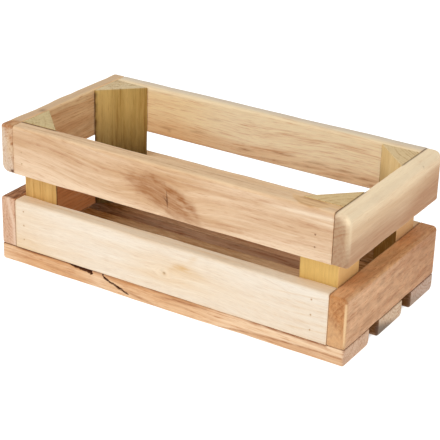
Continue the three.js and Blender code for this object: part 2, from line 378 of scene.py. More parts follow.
# Side slats: planed boards in two rows with a hand gap between. The long ones stand between the end
# ones, and all are nailed to the posts from outside. Their edges are sanded round.
side_turns = {
    "front": ((1, 0, 0), (0, 1, 0), (0, 0, 1)),
    "right": ((0, 1, 0), (-1, 0, 0), (0, 0, 1)),
    "rear": ((-1, 0, 0), (0, -1, 0), (0, 0, 1)),
    "left": ((0, -1, 0), (1, 0, 0), (0, 0, 1)),
}
lower_high = own_frame("lower_front_slat", side_turns["front"])[2][2]
upper_high = own_frame("upper_front_slat", side_turns["front"])[2][2]
nail_dish = 1.25
nail_dish_depth = 0.3
dish_dirt = 0.06
filler_tint = 0.2
edge_waver = 0.2
face_waver = 0.22
# The reach of a soft spot that takes in the whole of a slat along one of its axes.
all_along = np.inf


def nail_places(node, stick):
    """Where the nails of a slat go in, along it and up it, in its own millimetres."""
    turn, origin, _ = stick
    boxes = [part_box(name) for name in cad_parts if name.startswith(f"nail_{node}")]
    middles = np.array([(np.array(low) + np.array(high)) * 500 for low, high in boxes])
    return ((middles - origin) @ turn)[:, [0, 2]]


def nothing(points):
    """No mark at any point."""
    return 0.0


def lay_slat(node, axes, seed, edge, look, tip=(0.5, 0.5, 0.5, 0.5), heart=nothing, flow=nothing,
             stain_and_shade=nothing, grime_and_shade=nothing, rub_and_sheen=nothing, gold=nothing, carve=lambda points: points,
             near=(), filled=False, face_steps=(10, 34, 10)):
    """A slat: a rectangle with its four edges rounded, `edge` from the lower outer one to the upper
    outer one, carried along its length with a slow waver of its faces, and a shallow dish beaten in
    round each nail: depth exp(-(r / dish)^6). Filled nails have no dish, but a spot of filler over
    them. The points lie closer round the nails and the places in `near`, and `face_steps` is how
    many steps there are over the underside, the inner face and the top."""
    stick = own_frame(node, axes)
    length, thick, high = stick[2]
    nails = nail_places(node, stick)
    tip = np.array(tip, float)
    along = tip_places(length, 2.0, tip.max(), [*nails[:, 0], *near])
    uneven = np.stack([waver(along, 90, seed + k) for k in range(4)], 1)
    ease = np.array(edge, float) * (1 + edge_waver * uneven)
    calm = np.clip((length / 2 - np.abs(along)) / 40, 0, 1)[:, None, None]
    sway = np.stack([waver(along, 240, seed + 10 + k) for k in range(8)], 1).reshape(-1, 4, 2)
    square = np.array([[0, 0], [thick, 0], [thick, high], [0, high]]) + face_waver * sway * calm
    face = spaced(0, high, 1.5, nails[:, 1])
    face = face[(face > edge[0] + 0.6) & (face < high - edge[3] - 0.6)]
    outer = (high - edge[3] - face[::-1]) / (high - edge[3] - edge[0])
    middles = [np.linspace(0, 1, count + 1)[1:-1] for count in face_steps] + [outer]
    share = [between_arcs(middle, 0.012) for middle in middles]
    rings, poles = stick_rings(along, square, ease, tip, share)

    def from_nails(points):
        """How far each point of the outer face is from the nearest nail."""
        gap = np.hypot(points[:, None, 0] - nails[:, 0], points[:, None, 2] - nails[:, 1]).min(1)
        return np.where(points[:, 1] < 2, gap, np.inf)

    def shape(points):
        """Beats in the dishes, then carves what that slat has of its own."""
        if not filled:
            points[:, 1] += nail_dish_depth * np.exp(-(from_nails(points) / nail_dish) ** 6)
        return carve(points)

    def marks(points):
        """What the wood reads at each point: that slat's own marks, its ends and the spots at its nails."""
        round_nail = np.exp(-(from_nails(points) / nail_dish) ** 4)
        to_end = length / 2 - np.abs(points[:, 0])
        filler = filler_tint * round_nail if filled else 0
        darkening = 0 if filled else dish_dirt * round_nail
        return {"flow": flow(points), "heart": heart(points),
                "end": np.exp(-(to_end / (0.3 + 0.5 * tip.max())) ** 2),
                "stain_and_shade": np.clip(stain_and_shade(points) + filler, 0, 1),
                "grime_and_shade": np.clip(grime_and_shade(points) + darkening, 0, 1),
                "rub_and_sheen": np.clip(rub_and_sheen(points), 0, 1), "gold": np.clip(gold(points), 0, 1)}

    lay_stick(f"planed_{node}", node, stick, rings, poles, shape, marks,
              sawn_wood(f"wood_of_{node}", stick, seed, **look))


# Lower front slat: a planed board of pale sapwood, with one small knot and a yellow smear beside it.
# Three nails at each end hold it to the front posts.
def meet_left(points):
    """Draws a long slat's left end 0.2 mm out, to close its joint with the end slat there."""
    points[:, 0] -= 0.2 * ramp(points[:, 0], -150, -183)
    return points


def lower_front_flow(points):
    """The grain dips 12 mm to the right and opens round the knot."""
    dip = 12 * ramp(points[:, 0], 40, 180)
    return dip + soft_spots(points, [(-5, (3, 0, 27), (14, 40, 6)), (5, (3, 0, 19), (14, 40, 6))])


def lower_front_heart(points):
    """Warmer round the knot, at the lower left and along the foot, palest at the upper right."""
    up = points[:, 2]
    face = 0.2 + soft_spots(points, [(0.3, (5, 0, 20), (45, all_along, 14)),
                                     (0.3, (-170, 0, 4), (60, all_along, 14)),
                                     (-0.2, (150, 0, 44), (60, all_along, 12))])
    return face + 0.02 * ramp(up, 50.5, 52.7) + 0.25 * ramp(up, 4, 0)


def top_streaks(points, streaks, top):
    """Long thin streaks on a slat's top face, which is at the height `top`. Each is (start, end, how
    far in from the outer face): a lens that is strongest and bends 1.5 mm inwards half-way."""
    lines = [trail(points, [(start, deep, 0.8, 0.1), ((start + end) / 2, deep + 1.5, 1.2, 0.5),
                            (end, deep, 0.8, 0.1)], 1)
             for start, end, deep in streaks]
    return np.max(lines, axis=0) * ramp(points[:, 2], top - 2.5, top - 1)


def lower_front_stain(points):
    """The yellow smear right of the knot, the knot's own brown ring, a yellowed left end, and the thin
    pointed arches that the growth rings leave towards the right end. Streaks along the top."""
    smear = trail(points, [(8, 27, 2.5, 0.2), (16, 31.5, 4, 0.55), (25, 34, 4, 0.65), (36, 32, 4, 0.35),
                           (52, 29, 3, 0.1)])
    smear = np.maximum(smear, trail(points, [(30, 40, 3, 0.1), (37, 47, 3, 0.28), (41, 50, 2, 0.1)]))
    arches = [trail(points, [(183, high, 0.7, 0.3), (150, high - 3, 0.7, 0.35),
                             (start, high - 9, 0.6, 0.05)])
              for high, start in ((46, 70), (39, 96), (33, 60), (27, 84), (19, 40), (12, 76))]
    yellowed = 0.16 * ramp(points[:, 0], -120, -178)
    face = smear + yellowed + 0.9 * np.max(arches, axis=0)
    top = top_streaks(points, [(-182, -60, 8), (-110, 40, 12), (-20, 110, 7), (60, 182, 13)], lower_high)
    return face + 1.3 * top + soft_spots(points, [(0.6, (2.6, 0, 22.8), (2.2, 30, 1.8))])


def lower_front_gold(points):
    """A little gold round the knot, and more along the top."""
    round_knot = soft_spots(points, [(0.22, (25, 0, 24), (60, all_along, 16))])
    return round_knot + 0.34 * ramp(points[:, 2], 50.5, 52.7)


def lower_front_rub(points):
    """The top is rubbed pale, most along its inner edge."""
    inner_edge = np.exp(-((points[:, 1] - 15.8) / 1.2) ** 2)
    return (0.14 + 0.4 * inner_edge) * ramp(points[:, 2], 50.5, 52.5)


def lower_front_grime(points):
    """The dark middle of the knot, and dirt along the foot of the left half."""
    return soft_spots(points, [(0.75, (2.8, 0, 22.6), (1.4, 30, 0.9)), (0.5, (-150, 0, 0), (60, 3, 0.7))])


lay_slat("lower_front_slat", side_turns["front"], seed=11, edge=(0.8, 0.8, 2.6, 2.6),
         look=dict(sap=(229, 217, 200), heart=(219, 185, 140), end=(222, 190, 150), ring=5.0,
                   ring_depth=0.1, band_depth=0.3, streak_depth=0.15, light_depth=0.25, dash_depth=0.18,
                   late=(206, 162, 118), stain_and_shade=(206, 164, 104), pale=(244, 234, 218)),
         heart=lower_front_heart, flow=lower_front_flow, stain_and_shade=lower_front_stain, gold=lower_front_gold,
         rub_and_sheen=lower_front_rub, grime_and_shade=lower_front_grime, carve=meet_left, near=[3])


# Upper front slat: a planed board of light tan wood, with a red-brown swirl where a branch left the
# trunk and a golden patch on its top. Two nails at each end hold it to the front posts.
def upper_front_flow(points):
    """The grain dips 20 mm from the left end to the swirl, and runs down to the right through it."""
    dip = 20 / (1 + np.exp(-(points[:, 0] + 112) / 30))
    through = 0.36 * (points[:, 0] - 2) * soft_spots(points, [(1, (2, 0, 20), (36, all_along, 16))])
    return dip + through


def golden_flame(points):
    """The golden patch on the right end of the slat's top: a tongue that reaches to its outer edge."""
    along, inward, up = points.T
    rim = np.interp(along, [132, 138, 143, 148, 155, 166, 171, 175, 183],
                    [13, 8, 4, 1.6, 0.8, 1.2, 4, 8, 9])
    rim += 0.5 * waver(along, 11, 8)
    return ramp(inward - rim, -0.7, 0.9) * ramp(along, 130, 142) * ramp(up, 48, 50)


def upper_front_heart(points):
    """Browner towards the top edge, most to the left, pale along the foot and the top, and a little
    browner in the golden patch."""
    along, _, up = points.T
    left = ramp(along, 90, 0)
    face = 0.3 + (0.22 * left + 0.04) * ramp(up, 22, 38) - 0.4 * ramp(up, 12, 1)
    spots = soft_spots(points, [(0.25, (70, 0, 6), (40, all_along, 9)),
                                (0.3, (-5, 0, 22), (52, all_along, 20))])
    return face - 0.55 * ramp(up, 50, 52) + spots + 0.3 * golden_flame(points)


def upper_front_stain(points):
    """The swirl: an ellipse 100 by 28 mm aslant across the slat, soft at its rim, with darker caps along
    its upper side. On the slat's top, long brown streaks, and darker ones in the golden patch."""
    along, inward, up = points.T
    bent = points + np.array([0, 0, 1.2]) * waver(points[:, :1], 19, 5)
    slant = np.radians(19)
    lengthwise = np.cos(slant) * along - np.sin(slant) * (bent[:, 2] - 20)
    crosswise = np.sin(slant) * along + np.cos(slant) * (bent[:, 2] - 19)
    rim = np.hypot(lengthwise / 50, crosswise / 14) + 0.1 * waver(along + 2 * up, 23, 9)
    patch = 0.74 * ramp(rim, 1.25, 0.4)
    caps = trail(bent, [(-44, 31, 3.5, 0.3), (-36, 33, 4.5, 0.7), (-28, 33, 4, 0.6), (-20, 37, 4, 0.75),
                        (-12, 38, 4.5, 0.9), (-5, 35, 4.5, 0.75), (2, 32, 5, 0.8), (10, 28.5, 5.5, 0.95),
                        (17, 26, 5.5, 0.95), (25, 21, 5.5, 0.9), (32, 17, 5, 0.85), (37, 12, 4.5, 0.7),
                        (41, 6, 4, 0.4)])
    streaks = top_streaks(points, [(-182, -70, 6), (-150, 0, 11), (-60, 60, 7), (0, 120, 12),
                                   (-182, -90, 13)], upper_high)
    flame_rim = trail(points, [(138, 8.4, 0.8, 0.1), (144, 4.4, 1.1, 0.5), (150, 2.6, 1.2, 0.6),
                               (158, 2.2, 1.2, 0.6), (166, 3.8, 1.0, 0.4), (172, 7.6, 0.8, 0.1)], 1)
    flame_heart = trail(points, [(140, 12.5, 1.2, 0.3), (150, 14.5, 2.2, 1.0), (160, 14.8, 2.4, 1.1),
                                 (170, 12.5, 1.6, 0.3)], 1)
    top = np.maximum(1.4 * streaks * ramp(along, 130, 110),
                     np.maximum(flame_rim, flame_heart) * ramp(up, 48, 50))
    return np.maximum(np.maximum(patch, caps) * ramp(inward, 8, 3), top)


def upper_front_gold(points):
    """Golden at the right end of the top, a little over the rest of it and round the swirl."""
    round_swirl = soft_spots(points, [(0.25, (0, 0, 24), (75, all_along, 28))])
    return golden_flame(points) + 0.55 * ramp(points[:, 2], 49, 51) + round_swirl


def upper_front_highlight_and_rub(points):
    """A pale line below the top edge towards the right end, which is a painted highlight, and a little over
    the top.
    """
    line = trail(points, [(112, 43, 1.5, 0.1), (145, 43.8, 2.2, 0.6), (182, 45, 2, 0.65)])
    return line + 0.13 * ramp(points[:, 2], 49, 51)


def upper_front_crack_and_gap_shade(points):
    """The thin forked crack in the swirl, and painted shade in the gap between the slat's top and the left
    post.
    """
    along, inward, up = points.T
    crack = trail(points, [(4.2, 28, 0.5, 0.3), (4.8, 22, 0.75, 0.8), (5.2, 17, 0.8, 1.0),
                           (5.6, 11, 0.5, 0.3)])
    fork = trail(points, [(0.6, 22, 0.5, 0.4), (2.8, 19.5, 0.7, 0.7), (5, 16.5, 0.7, 0.9)])
    gap = ramp(inward, 12.8, 14.8) * ramp(up, 48, 50) * ramp(along, -136, -142)
    return np.maximum(np.maximum(crack, fork) * ramp(inward, 3, 1), gap)


lay_slat("upper_front_slat", side_turns["front"], seed=12, edge=(1.8, 1.0, 2.2, 3.2),
         look=dict(sap=(225, 197, 166), heart=(188, 145, 101), end=(200, 160, 120), ring=3.6,
                   ring_depth=0.22, band_depth=0.62, streak_depth=0.28, light_depth=0.2, dash_depth=0.34,
                   stain_and_shade=(152, 99, 56), figured=0.6),
         heart=upper_front_heart, flow=upper_front_flow, stain_and_shade=upper_front_stain, gold=upper_front_gold,
         rub_and_sheen=upper_front_highlight_and_rub, grime_and_shade=upper_front_crack_and_gap_shade, carve=meet_left, near=[5])

# Lower rear slat: a planed tan board, its inner face darkened below its top by painted shade, with a
# weathered grey outer top edge. Three nails at each end hold it to the rear posts.
lay_slat("lower_rear_slat", side_turns["rear"], seed=13, edge=(1.6, 1.0, 1.6, 2.0),
         look=dict(sap=(240, 212, 172), heart=(212, 176, 134), end=(190, 150, 112), pale=(150, 136, 116),
                   stain_and_shade=(132, 87, 36), figured=0.2, ring_depth=0.1, streak_depth=0.2, dash_depth=0.2),
         heart=lambda points: 0.15,
         # Painted shade: its inner face darkens below its top.
         stain_and_shade=lambda points: ramp(points[:, 1], 14, 16) * ramp(points[:, 2], 52, 46),
         rub_and_sheen=lambda points: 0.6 * ramp(points[:, 2], 50, 52) * ramp(points[:, 1], 3.5, 1))


# Upper rear slat: a planed board of light wood with long wavy streaks, browner along its foot, its top
# edge painted pale grey as a reflection of the sky. Two nails at each end hold it to the rear posts.
def upper_rear_heart(points):
    """Brown along the foot, and a little over the lower part of the left half."""
    along, _, up = points.T
    return 0.66 * ramp(up, 21, 10) + 0.2 * ramp(along, 20, 120) * ramp(up, 40, 20)


def upper_rear_stain(points):
    """Red-brown dashes along the lower part of the inner face, each (middle, height, length, strength)
    and falling 1.6 mm from end to end, and a browner outer face."""
    dashes = [(116, 10.5, 22, 0.8), (113, 8.5, 5, 0.9), (76, 14.6, 22, 0.7), (16, 8.4, 24, 0.8),
              (54, 34, 20, 0.35), (-20, 4.6, 36, 0.9), (-28, 14.5, 34, 0.9), (-56, 7, 40, 0.8),
              (-70, 13, 30, 0.7), (-96, 5, 34, 0.8), (-100, 12, 40, 0.7), (-125, 9, 36, 0.9),
              (-136, 4, 24, 0.8)]
    lines = [trail(points, [(middle - length / 2, height + 0.8, 0.9, 0.2), (middle, height, 1.4, strength),
                            (middle + length / 2, height - 0.8, 0.9, 0.2)])
             for middle, height, length, strength in dashes]
    inner = ramp(points[:, 1], 8, 14)
    return np.max(lines, axis=0) * inner + 0.25 * (1 - inner) * ramp(points[:, 2], 51, 48)


def upper_rear_gold(points):
    """Golden over the left half below the top, and a little along the inner edge of the top."""
    along, inward, up = points.T
    left = 0.6 * ramp(along, 20, 110) * ramp(up, 52, 46)
    return left + 0.3 * ramp(up, 48.5, 50.5) * ramp(inward, 11, 14)


def upper_rear_sky_sheen(points):
    """The top, painted pale grey as a reflection of the sky, most towards the outside."""
    return ramp(points[:, 2], 48.5, 51) * (0.3 + 0.7 * ramp(points[:, 1], 15, 2))


lay_slat("upper_rear_slat", side_turns["rear"], seed=14, edge=(2.0, 1.6, 2.6, 2.4),
         look=dict(sap=(255, 234, 194), heart=(232, 190, 145), end=(200, 160, 120), ring=3.0,
                   ring_depth=0.08, pith=(30, -16), drift=9.0, band_depth=0.55, streak=(70, 2.6),
                   streak_depth=0.48, light_depth=0, dash=(30, 1.1), dash_depth=0.42,
                   late=(206, 142, 96), stain_and_shade=(180, 124, 84), pale=(209, 194, 174)),
         heart=upper_rear_heart, flow=lambda points: -10 * ramp(points[:, 0], 40, -120),
         stain_and_shade=upper_rear_stain, gold=upper_rear_gold, rub_and_sheen=upper_rear_sky_sheen,
         # Painted shade in the gap between its inner top edge and the top of the left rear post.
         grime_and_shade=lambda points: soft_spots(points, [(0.7, (180, 17.5, 51), (11, 1.6, 2.5))]))


# End slats: two boards at each end, outside the ends of the long ones. Their upper outer edges and
# their tips are sanded well round. Two nails at each end hold them to the posts, sunk and filled over.
def on_front_end(points, side):
    """1 on an end slat's front end and 0 from 4 mm along it. `side` is -1 for the right end's slats,
    whose length runs to the rear, and 1 for the left end's."""
    return ramp(side * points[:, 0], 94, 97)


def lower_right_stain(points):
    """Darker blotches, most of them high up towards the rear, and one half-way along the top."""
    return soft_spots(points, [(0.3, (70, 0, 40), (26, 8, 12)), (0.25, (88, 0, 44), (14, 5, 10)),
                               (0.2, (-50, 0, 12), (22, 40, 6)), (0.25, (35, 0, 40), (14, 8, 9)),
                               (0.35, (0, 9, 53), (45, 9, 3))])


def lower_right_heart(points):
    """Browner towards the rear, and paler on the top and at the front."""
    along, _, up = points.T
    front = soft_spots(points, [(0.3, (-80, 0, 44), (30, all_along, 8))])
    top = (0.4 + 0.4 * ramp(np.abs(along), 40, 80)) * ramp(up, 49, 52)
    return 0.2 + 0.5 * ramp(along, -95, 95) - top - front


def lower_right_gold(points):
    """Golden on the top, most half-way along it, and a little on its front end."""
    along, _, up = points.T
    top = (0.6 + 0.4 * ramp(np.abs(along), 80, 30)) * ramp(up, 48.5, 51.5)
    return np.maximum(top, 0.25 * on_front_end(points, -1))


def lower_right_wear_and_highlight(points):
    """The worn upright edge of its front end, with a painted highlight on it, and a light patch low on the
    end.
    """
    _, inward, up = points.T
    edge = trail(points, [(-97.6, 4, 0.9, 0.9), (-97.6, 30, 1.1, 1.4), (-97.6, 47, 0.9, 0.9)])
    patch = on_front_end(points, -1) * ramp(up - inward, 26, 2)
    return np.maximum(edge * ramp(inward, 3, 1), 0.35 * patch)


def lower_right_grime(points):
    """A dark speck, and dirt along its lower outer edge and its upper inner one."""
    return soft_spots(points, [(0.6, (75.3, 0, 30), (1.2, 20, 1.0)), (0.5, (0, 0, 0), (all_along, 3, 0.8)),
                               (0.6, (0, 18.5, 53), (all_along, 1.0, 1.2))])


lay_slat("lower_right_slat", side_turns["right"], seed=15, edge=(2.5, 0.8, 1.0, 4.0),
         look=dict(sap=(220, 175, 135), heart=(182, 130, 90), end=(186, 133, 84), pith=(-30, 10),
                   ring=3.4, ring_depth=0.15, band_depth=0.5, streak=(30, 3.2), streak_depth=0.5,
                   light_depth=0.15, dash=(8, 1.0), dash_depth=0.6, mottle=0.34, late=(200, 152, 100),
                   stain_and_shade=(160, 104, 60), pale=(238, 204, 160)),
         tip=(1.8, 0.8, 1.8, 2.0), heart=lower_right_heart, stain_and_shade=lower_right_stain,
         gold=lower_right_gold, rub_and_sheen=lower_right_wear_and_highlight, grime_and_shade=lower_right_grime, filled=True)


def upper_right_heart(points):
    """Cream along the top, turning to red-brown down the outer face and towards the rear."""
    along, _, up = points.T
    down = np.interp(up, [4, 14, 26, 32, 37, 42, 47, 52],
                     [0.95, 0.84, 0.66, 0.54, 0.4, 0.22, 0.08, 0.02])
    return down + 0.28 * ramp(along, 0, 95) * ramp(up, 46, 36)


def upper_right_stain(points):
    """A browner lower half of its front end, with a dark growth line aslant across it."""
    line = trail(points[:, [1, 0, 2]], [(11, 36, 1.2, 0.1), (8, 30, 1.6, 0.18), (5, 22, 1.6, 0.18),
                                        (3, 16, 1.2, 0.1)])
    return on_front_end(points, -1) * np.maximum(line, 0.1 * ramp(points[:, 2], 30, 12))


def upper_right_highlights(points):
    """Painted highlights: a pale edge up the outer side of its front end, widest at the upper outer
    corner, and its pale rounded shoulder."""
    along, inward, up = points.T
    edge = 0.62 * np.exp(-((along + 96.2) / 2.2) ** 2) * ramp(inward, 6, 2) * ramp(up, 0, 36)
    shoulder = 0.85 * np.exp(-((up - 50) / 3) ** 2) * ramp(inward, 6, 3.5)
    corners = soft_spots(points, [(0.6, (-98, 3, 48), (5, 6, 6)), (0.5, (-98, 12, 51), (4, 6, 3))])
    return np.maximum(edge, shoulder) + corners


def upper_right_pinhole_and_joint_shade(points):
    """Painted shade in the joints between its inner edge and the tops of the posts, and a dark pinhole."""
    along, inward, up = points.T
    joint = ramp(np.abs(along), 34, 42) * np.exp(-((inward - 16) / 1.4) ** 2 - ((up - 52.3) / 1.8) ** 2)
    return joint + soft_spots(points, [(0.6, (56.7, 0, 48), (1.1, 20, 0.9))])


lay_slat("upper_right_slat", side_turns["right"], seed=16, edge=(2.5, 0.8, 1.0, 7.6),
         look=dict(sap=(251, 228, 190), heart=(187, 142, 106), end=(170, 139, 109), pith=(-12, -14),
                   ring=4.0, ring_depth=0.1, band_depth=0.24, streak_depth=0.13, light_depth=0.12,
                   dash_depth=0.13, end_rings=0.6, late=(214, 160, 120), pale=(255, 232, 195)),
         tip=(3.2, 0.8, 3.2, 3.2), heart=upper_right_heart, stain_and_shade=upper_right_stain,
         gold=lambda points: 0.2 * np.exp(-((points[:, 2] - 32) / 9) ** 2), rub_and_sheen=upper_right_highlights,
         grime_and_shade=upper_right_pinhole_and_joint_shade, filled=True)


def lower_left_stain(points):
    """Brown over the top, short of its front end."""
    return 0.85 * ramp(points[:, 2], 49.7, 52.2) * ramp(points[:, 0], 97.5, 95.5)


def lower_left_rub(points):
    """The light streak that runs aslant down its front end."""
    aslant = points[:, 1] - np.interp(points[:, 2], [0, 24, 53], [17, 16, 9])
    return 0.75 * on_front_end(points, 1) * np.exp(-(aslant / 2.4) ** 2)


def lower_left_grime(points):
    """Dirt in the joint beside the front slat, and along its lower and upper outer edges."""
    return soft_spots(points, [(0.4, (98, 18.5, 26), (2, 0.7, all_along)),
                               (0.5, (0, 0, 0), (all_along, 3, 0.8)),
                               (0.45, (0, 0, 53), (all_along, 1.2, 1.2))])


lay_slat("lower_left_slat", side_turns["left"], seed=17, edge=(2.5, 0.8, 1.0, 2.0),
         look=dict(sap=(222, 176, 138), heart=(242, 170, 110), end=(204, 167, 139), pith=(34, 40),
                   ring=3.4, band_depth=0.3, streak_depth=0.5, dash_depth=0.4, stain_and_shade=(118, 74, 40),
                   pale=(224, 196, 170), end_rings=0.1),
         tip=(1.8, 0.4, 1.8, 2.0), heart=lambda points: 0.15 + 0.8 * ramp(points[:, 1], 10, 17),
         stain_and_shade=lower_left_stain, rub_and_sheen=lower_left_rub, grime_and_shade=lower_left_grime, filled=True)


def upper_left_heart(points):
    """Browner below its top edge, and a little towards the front."""
    return 0.3 * ramp(points[:, 2], 48, 40) + 0.12 * ramp(points[:, 0], -30, 20)


def upper_left_stain(points):
    """Brown by the front slat high on its front end, over that end's top and on the outer face, and
    darker streaks low on its inner face."""
    along, inward, up = points.T
    on_end = on_front_end(points, 1)
    patch = soft_spots(points, [(0.9, (98, 13.5, 39), (9, 2.4, 3)), (0.9, (98, 15, 33), (9, 2, 2.2)),
                                (0.35, (98, 8, 48), (9, 8, 5))])
    outer = 0.35 * ramp(inward, 4, 1) * (1 - on_end)
    top = ramp(along, 78, 86) * ramp(up, 48, 50.5)
    return patch * on_end + outer + top + 0.3 * ramp(inward, 13, 15.5) * ramp(up, 36, 10)


def upper_left_gold(points):
    """Golden on the upper inner part of its front end."""
    _, inward, up = points.T
    return 0.6 * on_front_end(points, 1) * ramp(inward, 5, 11) * ramp(up, 8, 28)


def upper_left_rub(points):
    """Its top is rubbed pale, but for its inner edge and its front end."""
    along, inward, up = points.T
    return 0.9 * ramp(up, 49.8, 51.8) * ramp(inward, 16, 12.5) * ramp(along, 87, 79)


def upper_left_grime(points):
    """Dark nicks at the lower inner corner and half-way up its front end, and one on its top."""
    return soft_spots(points, [(1.2, (98, 14.2, 2.8), (6, 2.2, 1.6)), (0.4, (98, 16, 32.5), (6, 1.8, 1.3)),
                               (0.5, (44, 12, 52.3), (4, 3, 1.5))])


lay_slat("upper_left_slat", side_turns["left"], seed=18, edge=(7.5, 0.8, 2.4, 4.5),
         look=dict(sap=(255, 221, 170), heart=(224, 162, 104), end=(206, 185, 163), pith=(30, 20),
                   ring=3.2, ring_depth=0.4, streak_depth=0.6, dash_depth=0.5, stain_and_shade=(170, 116, 74),
                   pale=(202, 172, 138), end_rings=0.0),
         tip=(2.4, 0.4, 2.4, 3.6), heart=upper_left_heart, stain_and_shade=upper_left_stain, gold=upper_left_gold,
         rub_and_sheen=upper_left_rub, grime_and_shade=upper_left_grime, filled=True)

# Base slats: three boards laid lengthwise under the sides and nailed up into the lower end slats.
# Their upper faces inside the crate and their sides by the gaps are darkened with painted shade. The
# front one still has the wane of the log along its lower right edge, a chip and a crack.
base_turn = ((1, 0, 0), (0, 0, 1), (0, -1, 0))
_, base_thick, base_width = own_frame("base_rear_slat", base_turn)[2]
middle_width = own_frame("base_middle_slat", base_turn)[2][2]
foot_gap = 0.05
break_depth = 3.2
wane_lean = 0.11
chip = [(-114, 17.8, 0.7, 1), (-108, 17.2, 1.3, 2), (-98, 16.8, 1.5, 3), (-89, 16.3, 1.6, 3),
        (-86.8, 15.4, 1.3, 3), (-86.8, 12.8, 0.5, 1)]
crack = [(-72, 17.4, 0.7, 1), (-70.5, 14.4, 0.8, 2), (-66.5, 12.4, 0.8, 2), (-60, 10.4, 0.8, 2),
         (-53, 8.4, 0.9, 2), (-46, 6.0, 0.8, 2), (-41, 4.2, 0.6, 1)]


def torn(points, rim, middle):
    """How far the front face is broken away by the chip and the crack: 0 where they are as strong as
    `rim` and 1 where they are as strong as `middle`. Their edges are ragged by up to 0.6 mm."""
    ragged = points + np.stack([0.6 * waver(points[:, 1], 5, 31), 0.35 * waver(points[:, 0], 9, 32),
                                np.zeros(len(points))], axis=1)
    return ramp(np.maximum(trail(ragged, chip, 1), trail(ragged, crack, 1)), rim, middle)


def wane_ridge(along):
    """How high the wane's ridge runs up the front face: from the foot near the middle to the right end."""
    return np.interp(along, [60, 90, 125, 160, 200], [0.1, 4.5, 7.5, 8.8, 9.4])


def by_gaps(points, gaps):
    """1 on the sides that face the gaps between the slats, which lie at the widths `gaps`."""
    return ramp(np.min([np.abs(points[:, 2] - side) for side in gaps], axis=0), 2, 0.5)


def base_inside_shade(points, gaps):
    """Painted shade: dark brown on the upper face inside the crate, most at the two ends, and on the sides
    that face the gaps, most by their ends."""
    along, inward, _ = points.T
    inside = ramp(inward, 15, 17) * ramp(np.abs(along), 186, 182)
    top = inside * (0.44 + 0.47 * ramp(along, -122, -172) - 0.36 * ramp(along, 10, 85)
                    + 0.78 * ramp(along, 85, 125))
    side = np.maximum(0.05 + 0.7 * ramp(along, -128, -172), ramp(np.abs(along), 155, 190))
    return np.maximum(top, by_gaps(points, gaps) * side)


def base_top_gold(points):
    """Where the painted shade on the upper faces and sides is yellowed, again most at the two ends."""
    along = points[:, 0]
    inside = ramp(along, -186, -182) * ramp(along, 186, 182)
    right = 0.5 * ramp(along, 85, 125) * ramp(points[:, 2], 54, 51)
    return inside * (0.45 + 0.55 * ramp(along, -105, -155) + right)


def gap_shade(points, gaps):
    """Painted shade on the sides that face the gaps, out by the ends."""
    return 0.5 * by_gaps(points, gaps) * ramp(np.abs(points[:, 0]), 165, 195)


def flat_foot(points):
    """Keeps the underside off the floor."""
    points[:, 1] = np.maximum(points[:, 1], foot_gap)
    return points


def carve_front_base(points):
    """Draws the chip and the crack into the front face, and leans the front face below the wane's
    ridge back by up to 1 mm."""
    points[:, 2] -= break_depth * torn(points, 0.35, 0.85) * ramp(points[:, 2], 47, 50.5)
    ridge = wane_ridge(points[:, 0])
    below = np.clip(1 - points[:, 1] / ridge, 0, 1)
    points[:, 2] -= wane_lean * ridge * below * ramp(points[:, 2], 36, 52)
    return flat_foot(points)


def front_base_dirt_and_shade(points):
    """The chip and the crack are black inside, dirt deepened by painted shade that reaches over their lit
    lower lips, and dirt lies in the joint left of them.
    """
    joint = 0.5 * ramp(points[:, 1], 16.6, 17.6) * ramp(points[:, 0], -50, -120)
    return np.maximum(torn(points, 0.1, 0.4), joint) * ramp(points[:, 2], 42, 45)


def front_base_heart(points):
    """Brown under the front slat and to the left, pale above the wane's ridge to the right."""
    along, inward, _ = points.T
    ridge = wane_ridge(along)
    pale = ramp(along, 40, 90) * ramp(inward, ridge - 1, ridge + 1.5)
    under = 0.35 * ramp(inward, 13, 16) * ramp(along, 80, 20)
    left = 0.22 * ramp(along, -50, -110) - 0.34 * ramp(along, -160, -195)
    return 0.46 + left + under - 0.42 * pale


def front_base_stain(points):
    """Brown streaks along the wane's ridge, under the front slat and to the left, a browner wane, and
    painted shade inside the crate.
    """
    along, inward, up = points.T
    paths = [[(60, 0, 1, 0.3), (90, 4, 1.0, 0.7), (125, 7, 1.2, 0.85), (160, 8.2, 1.1, 0.7),
              (200, 8.8, 1.0, 0.6)],
             [(-10, 12, 1.2, 0.2), (15, 14.5, 1.6, 0.8), (52, 15.4, 1.2, 0.6)],
             [(-200, 8, 1, 0.1), (-150, 8.5, 1, 0.4), (-100, 5.5, 1.2, 0.5), (-70, 2, 1, 0.3)],
             [(-55, 9, 1.2, 0.3), (-30, 5, 1.5, 0.6), (-10, 2, 1.2, 0.3)],
             [(0, 8, 1.0, 0.2), (22, 9.5, 1.2, 0.5), (40, 8, 1.0, 0.2)]]
    streaks = np.max([trail(points, path, 1) for path in paths], axis=0)
    ridge = wane_ridge(along)
    wane = 0.14 * ramp(inward, ridge + 0.5, ridge - 0.8) * ramp(along, 65, 95)
    face = np.maximum(streaks, wane) * ramp(up, 42, 48)
    return np.maximum(face, base_inside_shade(points, [0]))


def front_base_gold(points):
    """A little gold in the middle of the front face and to the left."""
    return soft_spots(points, [(0.25, (0, 9, 53), (60, 9, 6)), (0.15, (-120, 9, 53), (60, 9, 6))])


def grey_corner(points):
    """The lower front corner of the right end, grey from standing in the wet."""
    corner = points[:, 1] / base_thick + (base_width - points[:, 2]) / base_width
    return ramp(points[:, 0], 198.5, 201.5) * ramp(corner, 1.1, 0.5)


def rear_base_heart(points):
    """Even, but paler along the front edge to the left."""
    return 0.4 - 0.4 * ramp(points[:, 0], 20, -80) * ramp(points[:, 2], 51, 52.5)


